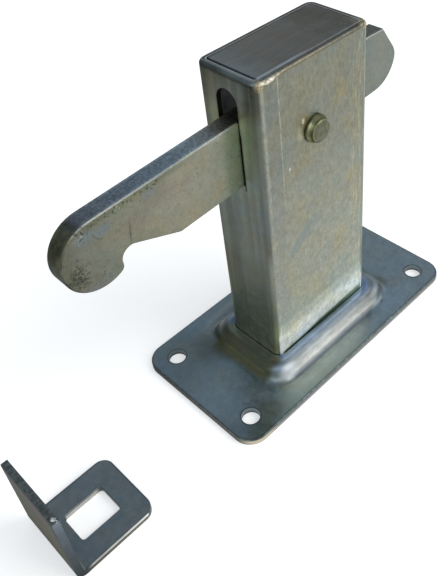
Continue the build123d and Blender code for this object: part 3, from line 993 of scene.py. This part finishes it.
edge_tone = graded(
    x,
    [(-107.0, (0.11, 0.115, 0.08)), (-101.0, (0.10, 0.105, 0.075)), (-98.5, (0.085, 0.095, 0.085)),
     (-96.0, (0.15, 0.17, 0.20)), (-92.0, (0.17, 0.21, 0.24)), (-86.0, (0.20, 0.245, 0.29)),
     (-70.0, (0.205, 0.26, 0.315)), (-60.0, (0.22, 0.28, 0.33)), (-50.0, (0.26, 0.325, 0.37)),
     (-42.0, (0.26, 0.29, 0.30)), (-36.0, (0.21, 0.205, 0.175)), (-30.0, (0.15, 0.145, 0.115)),
     (30.0, (0.10, 0.105, 0.09)), (62.0, (0.10, 0.11, 0.10))],
)
cut_marks = ramp(mottle(point, (0.9, 1.5, 1.5), 4.0, 0.65), 0.40, 0.60)
cut_marks = product(cut_marks, ramp(x, -100.0, -90.0, 0.3, 0.62))
edge_tone = shade(edge_tone, cut_marks, (0.42, 0.47, 0.52))
nose_low = product(ramp(x, -100.0, -103.0), ramp(z, 117.0, 110.0), 0.9)
edge_tone = shade(edge_tone, nose_low, (2.4, 2.3, 2.6))
nose_patch = product(ramp(mottle(point, (2.6, 2.2, 3.4), 4.0, 0.6), 0.46, 0.62),
                     ramp(x, -94.0, -100.0), 0.45)
edge_tone = shade(edge_tone, nose_patch, (1.9, 1.95, 1.9))
edge_tone = spots(
    point, edge_tone,
    [((-107.2, flank_y + 1.3, 114.3), (3.0, 2.4, 5.0), 0.9, (0.235, 0.24, 0.16))],
)
edge_crumbs = ramp(mottle(point, 0.9, 2.0), 0.62, 0.70)
edge_crumbs = product(edge_crumbs, ramp(x, -48.0, -36.0, 0.15, 0.7))
edge_tone = tint(edge_tone, edge_crumbs, (0.22, 0.20, 0.15))
from_middle = arith("ABSOLUTE", less(y, bar_middle_y))
from_flank = less(bar_half_thickness, from_middle)
# A painted highlight on the cut edge beside the near arris, standing in for the edge's rounding.
arris_side_highlight = product(ramp(from_flank, 1.9, 0.9), ramp(z, 112.0, 118.0), 0.8)
edge_tone = shade(edge_tone, arris_side_highlight, (1.5, 1.42, 1.32))
tone = tint(flank, ramp(from_flank, edge_break - 0.1, edge_break), edge_tone)

arris = stripe(from_flank, edge_break / 2, edge_break - 0.06, 0.08)
arris_worn = ramp(mottle(point, 1.5, 3.0), 0.34, 0.50, 0.15, 1.0)
arris_tone = graded(
    x,
    [(-100.0, (0.26, 0.27, 0.25)), (-90.0, (0.24, 0.245, 0.235)), (-81.0, (0.19, 0.195, 0.19)),
     (-71.0, (0.17, 0.175, 0.17)), (-61.0, (0.125, 0.135, 0.13)), (-51.0, (0.16, 0.17, 0.165)),
     (-41.0, (0.20, 0.21, 0.20)), (-30.0, (0.16, 0.17, 0.155)), (30.0, (0.20, 0.22, 0.21))],
)
lower_arris = product(arris, ramp(rise, 121.0, 118.0), 0.9)
lower_tone = graded(
    z,
    [(100.0, (0.035, 0.045, 0.03)), (106.0, (0.07, 0.075, 0.055)), (110.0, (0.30, 0.305, 0.24)),
     (117.0, (0.30, 0.305, 0.24)), (120.0, (0.10, 0.105, 0.08))],
)
far_arris = product(arris, ramp(y, 1.5, 2.5), ramp(x, -92.0, -97.0), 0.9)
# A near black painted shadow on the flank where it passes into the post's slot.
contact_shade = product(stripe(x, -29.7, 0.9, 0.4),
                  ramp(y, flank_y + 1.4, flank_y + 0.8), 0.9)
tone = layers(
    tone,
    (product(arris, ramp(rise, 126.8, 128.0), arris_worn), arris_tone),
    (lower_arris, lower_tone),
    (far_arris, (0.02, 0.022, 0.018)),
    (contact_shade, (0.018, 0.022, 0.014)),
)
finish_plating(shader, point, tone, grain_size=0.85, contrast=0.26, roughness=0.46, bump=0.45)

# Keeper
# Strip bent to an angle. The leg on the floor is slate blue, the upright's outer face is tinged
# brown, and the shear left pale edges, the leg's near one brightened by a painted highlight. The
# slot's walls carry painted light and shade.
keeper_low, keeper_high = box_mm("keeper")
keeper_middle = (keeper_low + keeper_high) / 2
keeper_half = (keeper_high - keeper_low) / 2
keeper_thickness = 2.8
slot_middle_x = 17.9
slot_half = (8.8, 6.8)
slot_corner = 1.4

shader, point, x, y, z = start_material("keeper")
tone = patches(
    point, (0.215, 0.25, 0.27), (0.22, 0.245, 0.235), (0.185, 0.235, 0.275), size=12.0, amount=0.7
)
from_front = less(y, keeper_low.y)
from_outer = less(x, keeper_low.x)
middle_x = less(x, keeper_middle.x)
middle_y = less(y, keeper_middle.y)
leg_outline = outline_distance(middle_x, middle_y, keeper_half, 3.0)
leg_rim = product(ramp(leg_outline, -1.0, -0.2), ramp(from_outer, 3.0, 4.0), 0.6)
browned = graded(
    z,
    [(0.0, (0.17, 0.18, 0.17)), (7.0, (0.24, 0.24, 0.19)), (18.0, (0.33, 0.33, 0.25)),
     (28.0, (0.38, 0.35, 0.32)), (35.0, (0.40, 0.37, 0.38)), (40.0, (0.25, 0.23, 0.24))],
)
browned = clouded(point, browned, (1.10, 0.97, 0.90), (0.88, 0.97, 1.08), size=8.0, amount=0.8)
browned = tint(browned, ramp(from_front, 0.5, 5.0, 0.9, 0.0), (0.19, 0.215, 0.235))
upright_end = product(ramp(from_front, 0.3, 0.1),
                      ramp(from_outer, keeper_thickness + 2.0, keeper_thickness))
end_tone = graded(
    z,
    [(0.0, (0.10, 0.12, 0.13)), (14.0, (0.14, 0.17, 0.19)), (30.0, (0.16, 0.19, 0.225)),
     (40.0, (0.22, 0.26, 0.30))],
)
shear_marks = ramp(mottle(point, (2.0, 1.5, 4.0), 4.0, 0.65), 0.38, 0.64)
top_tone = tint((0.185, 0.205, 0.21), shear_marks, (0.095, 0.108, 0.105))
# The leg's near cut edge is lighter at the bottom, dark across the middle and near white at the top, where
# it is a painted highlight made less metallic.
leg_edge = product(ramp(from_front, 0.4, 0.15), ramp(from_outer, 4.0, 7.0))
shear_streaks = ramp(mottle(point, (6.0, 2.0, 0.8), 3.0), 0.35, 0.60)
leg_edge_light_and_shade = graded(z, [(0.0, (0.40, 0.39, 0.33)), (0.9, (0.28, 0.28, 0.24)), (1.5, (0.12, 0.12, 0.11)),
                             (2.0, (0.95, 0.94, 0.86)), (2.8, (0.90, 0.92, 0.90))])
leg_edge_light_and_shade = tint(leg_edge_light_and_shade, product(shear_streaks, 0.35), (0.24, 0.23, 0.18))
# Painted light and shade in the slot: its far wall is near white with a darker top, and its end wall is near
# white low down with painted shade above. The white parts are less metallic.
far_wall = product(stripe(middle_y, slot_half[1], 0.3, 0.1), ramp(from_outer, 9.0, 10.5),
                   ramp(from_outer, 26.5, 24.0))
far_wall_light = graded(z, [(0.0, (1.0, 1.0, 0.95)), (0.5, (0.72, 0.76, 0.74)), (0.9, (0.95, 0.97, 0.93)),
                             (1.7, (1.0, 0.98, 0.93)), (2.1, (0.30, 0.33, 0.35)), (2.8, (0.28, 0.31, 0.34))])
far_wall_light = tint(far_wall_light, product(shear_streaks, 0.4), (0.62, 0.58, 0.46))
slot_outline = outline_distance(
    less(from_outer, slot_middle_x), middle_y, slot_half, slot_corner
)
end_wall = product(stripe(slot_outline, 0.0, 0.3, 0.1), ramp(from_outer, 25.0, 25.8),
                   ramp(y, -3.0, -4.2))
end_wall_light_and_shade = graded(z, [(0.0, (1.0, 1.0, 0.98)), (1.1, (1.0, 1.0, 0.98)), (1.5, (0.12, 0.135, 0.13)),
                                 (2.8, (0.12, 0.135, 0.13))])
tone = layers(
    tone,
    (leg_rim, (0.08, 0.09, 0.085)),
    (ramp(from_outer, 0.4, 0.15), browned),
    (upright_end, end_tone),
    (ramp(z, keeper_high.z - 0.5, keeper_high.z - 0.1), top_tone),
    (leg_edge, leg_edge_light_and_shade),
    (far_wall, far_wall_light),
    (end_wall, end_wall_light_and_shade),
)
lit_walls = greatest(far_wall, product(end_wall, ramp(z, 1.5, 1.2)))
leg_edge_highlight = product(leg_edge, ramp(z, 1.8, 2.2), ramp(from_outer, 8.0, 30.0, 0.3, 0.8))
whiten(shader, greatest(product(lit_walls, 0.55), leg_edge_highlight))
finish_plating(shader, point, tone, grain_size=1.0, contrast=0.16, roughness=0.40, bump=0.3)

# Keeper burr
# A torn lip that the shear left standing on the upright's near top corner, bright where the
# metal is bare, with cream patches painted as highlights. It is part of the keeper's strip.
burr_rings = 40
burr_sides = 16
burr_size = 0.75
burr_inset = 2.0
burr_lean = 1.2
burr_length = 2.6


def burr_surface(along, around):
    """A ragged ridge that leans over the corner: an ellipse carried down a slant line, its size
    the root of a half sine, with two waves along it, so that both ends come to a point."""
    size = burr_size * np.sqrt(np.sin(np.pi * along))
    size = size * (1.0 + 0.22 * np.sin(17.0 * along + 1.4 * np.sin(around)))
    size = size * (1.0 + 0.12 * np.sin(31.0 * along))
    x = keeper_low.x + burr_inset - burr_lean * along + size * np.cos(around)
    y = keeper_low.y - 0.1 + burr_length * along + 0.8 * size * np.sin(around)
    z = keeper_high.z - 0.25 + 0.35 * np.sin(np.pi * along) + 0.7 * size * np.sin(around + 0.7)
    return np.stack((x, y, z), axis=-1)


along = np.linspace(0.004, 0.996, burr_rings)[:, None]
around = np.linspace(0.0, 2 * np.pi, burr_sides, endpoint=False)[None, :]
keeper_burr = closed_tube("keeper_burr", burr_surface(along, around))
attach(keeper_burr, "root")
shader, point, x, y, z = start_material("keeper_burr", keeper_burr)
tone = patches(point, (0.30, 0.33, 0.36), (0.62, 0.58, 0.46), (0.10, 0.12, 0.14), size=0.8, amount=1.0)
finish_plating(shader, point, tone, grain_size=0.6, contrast=0.35, roughness=0.34, bump=0.7)
